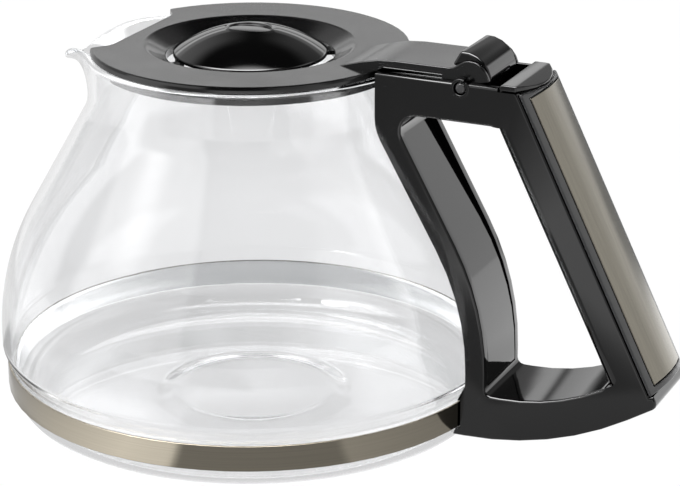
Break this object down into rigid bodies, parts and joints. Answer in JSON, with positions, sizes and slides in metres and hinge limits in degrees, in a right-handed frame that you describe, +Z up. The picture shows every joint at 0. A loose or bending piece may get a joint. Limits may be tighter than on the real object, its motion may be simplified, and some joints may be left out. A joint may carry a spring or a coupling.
{
  "type": "coffee carafe",
  "caption": "Round glass coffee carafe with a drawn pouring spout, a metal band at the foot, a moulded loop handle with a metal inlay, and a hinged lid worked by a thumb lever.",
  "frame": {"origin": "on the axis of the glass, on the flat face the jug stands on", "axes": "+X to the handle, -X to the spout, +Z up, XZ is the plane of symmetry"},
  "size_m": [0.2105, 0.1528, 0.1212],
  "materials": {
    "clear_glass": "clear blown glass, fire-polished rim",
    "champagne_band": "champagne-coloured polished strip",
    "champagne_plate": "champagne-coloured metal, brushed along its length",
    "zinc_fastener": "zinc-plated",
    "black_gloss": "glossy black moulding",
    "black_satin": "satin black moulding",
    "dark_grey": "dark grey satin moulding"
  },
  "bodies": {
    "jug": {"glass_jug": "clear_glass", "base_band": "champagne_band", "band_screw": "zinc_fastener", "band_nut": "zinc_fastener", "handle_frame": "black_gloss", "finger_cover": "black_gloss", "handle_cap": "black_gloss", "grip_bezel": "dark_grey", "grip_plate": "champagne_plate"},
    "lid": {"lid_plate": "black_satin", "lid_skirt": "black_gloss", "drip_dome": "black_satin", "thumb_lever": "black_gloss", "hinge_pin": "dark_grey"}
  },
  "joints": [
    {"name": "lid_hinge", "type": "hinge", "parent": "jug", "child": "lid", "pos_m": [0.0724, 0, 0.11164], "axis": [0, 1, 0], "range_deg": [0, 70]}
  ]
}
